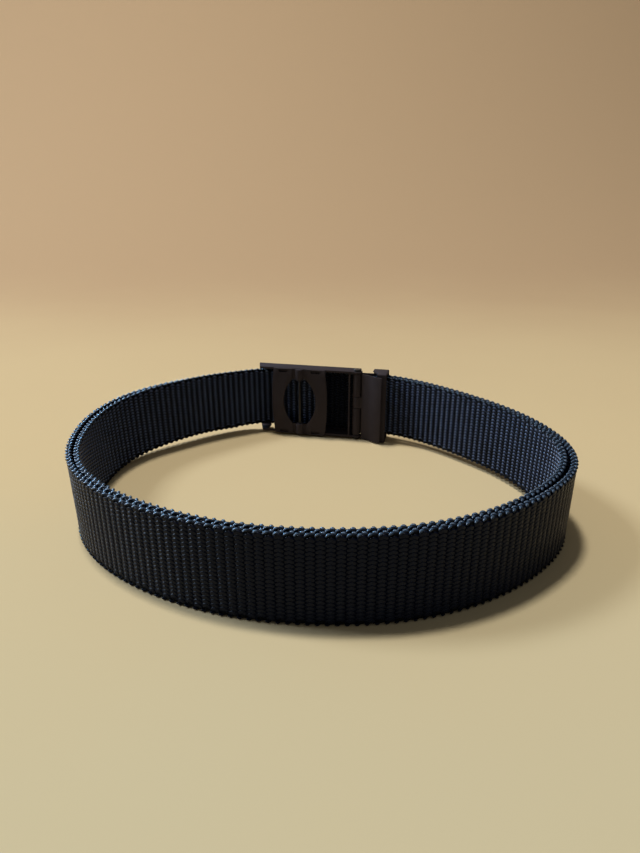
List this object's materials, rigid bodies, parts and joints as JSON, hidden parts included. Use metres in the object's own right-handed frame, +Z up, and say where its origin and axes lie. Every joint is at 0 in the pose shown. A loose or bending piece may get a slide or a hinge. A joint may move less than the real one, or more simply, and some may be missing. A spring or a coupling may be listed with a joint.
{
  "type": "nylon belt",
  "caption": "Ribbed nylon webbing belt with a black metal automatic-style buckle, fastened and standing on its edge as a double loop with its free end beside the buckle.",
  "frame": {"origin": "on the surface that the belt stands on, under the middle of the loop", "axes": "+Z up; +X along the loop's longer width; the buckle is at +Y with its outer face turned 13 degrees from +Y, and the plain front of the loop is at -Y"},
  "size_m": [0.2202, 0.1923, 0.0424],
  "materials": {
    "webbing": "black nylon webbing with upright ribs and a bluish navy cast where the light grazes the weave",
    "black_metal": "satin warm black enamel on pressed metal, rubbed to bare metal along the outer edges",
    "dark_steel": "blackened steel pins, a little glossier than the plates"
  },
  "bodies": {
    "root": {"strap": "webbing", "face_frame": "black_metal", "back_plate": "black_metal", "end_clamp": "black_metal", "clamp_flap": "black_metal", "keeper": "black_metal", "lock_pin": "dark_steel", "grip_roller": "dark_steel", "hinge_pin": "dark_steel"}
  },
  "joints": []
}
